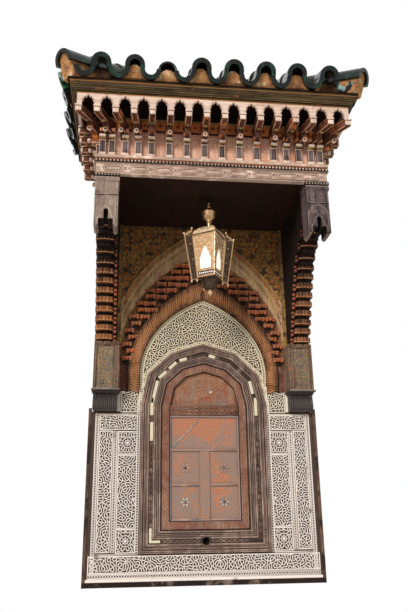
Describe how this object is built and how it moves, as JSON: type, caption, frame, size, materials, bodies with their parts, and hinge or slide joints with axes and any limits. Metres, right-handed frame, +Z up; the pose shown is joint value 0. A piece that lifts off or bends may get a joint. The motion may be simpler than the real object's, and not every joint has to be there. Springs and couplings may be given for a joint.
{
  "type": "canopied window bay",
  "caption": "Wall-mounted shuttered window in carved plaster and faceted cedar frames, under a bracketed, tiled, hipped canopy with a swinging lantern.",
  "frame": {"origin": "bottom centre of the plaster panel, on the plane of the wall", "axes": "+X to the right seen from the street, -Y out of the wall, +Z up"},
  "size_m": [2.3466, 1.2483, 4.2696],
  "materials": {
    "plaster": "dry carved lime plaster, matte",
    "strip_wood": "aged boards, matte",
    "frame_wood": "weathered grey-brown cedar, matte",
    "carved_wood": "carved reddish cedar, matte",
    "shutter_paint": "worn painted panels, matte",
    "spandrel_paint": "painted boards, olive and gold, matte",
    "moulding_paint": "painted mouldings, matte",
    "stalactite_paint": "painted carved cells, red-orange, matte",
    "corbel_wood": "dark carved cedar, matte",
    "pilaster_paint": "worn blue-green painted panels, matte",
    "bracket_paint": "painted carved tiers, orange-brown, matte",
    "pale_wood": "bleached carved cedar, matte",
    "dark_wood": "sooted boards, matte",
    "frieze_paint": "faded pink and red painted boards, matte",
    "beam_wood": "beams with pale ends and orange-red sides, matte",
    "arcade_wood": "bleached cedar board, matte",
    "cornice_paint": "dark green painted mouldings, matte",
    "glazed_tile": "dark green glaze, glossy",
    "mortar": "earth and lime mortar, matte",
    "iron": "blackened",
    "lantern_brass": "aged pierced brass",
    "lantern_glass": "milky panes"
  },
  "bodies": {
    "bay": {"plaster_surround": "plaster", "edge_strips": "strip_wood", "foot_board": "strip_wood", "frame_sill": "frame_wood", "frame_stiles": "frame_wood", "frame_head": "frame_wood", "inner_frame": "carved_wood", "lunette_panel": "carved_wood", "transom_rail": "frame_wood", "shutter_frame": "frame_wood", "shutter_panels": "shutter_paint", "spandrel_board": "spandrel_paint", "arch_mouldings": "moulding_paint", "stalactite_arch": "stalactite_paint", "ribbed_arch": "stalactite_paint", "corbel_left": "corbel_wood", "corbel_right": "corbel_wood", "pilaster_left": "pilaster_paint", "pilaster_right": "pilaster_paint", "bracket_left": "bracket_paint", "bracket_right": "bracket_paint", "post_left": "pale_wood", "post_right": "pale_wood", "soffit_boards": "dark_wood", "architrave_front": "pale_wood", "architrave_left": "pale_wood", "architrave_right": "pale_wood", "frieze_front": "frieze_paint", "frieze_left": "frieze_paint", "frieze_right": "frieze_paint", "beams_front": "beam_wood", "beams_left": "beam_wood", "beams_right": "beam_wood", "arcade_front": "arcade_wood", "arcade_left": "arcade_wood", "arcade_right": "arcade_wood", "cornice": "cornice_paint", "roof_deck": "dark_wood", "tile_bedding": "mortar", "roof_tiles_front": "glazed_tile", "roof_tiles_left": "glazed_tile", "roof_tiles_right": "glazed_tile", "hip_bedding": "mortar", "hip_tiles": "glazed_tile", "back_boards": "dark_wood", "ceiling_hook": "iron"},
    "lantern": {"lantern_rod": "lantern_brass", "lantern_cap": "lantern_brass", "lantern_cage": "lantern_brass", "lantern_glass": "lantern_glass", "lantern_base": "lantern_brass"}
  },
  "joints": [
    {"name": "lantern_swing", "type": "hinge", "parent": "bay", "child": "lantern", "pos_m": [0, -0.55, 2.829], "axis": [1, 0, 0], "range_deg": [-15, 15]}
  ]
}
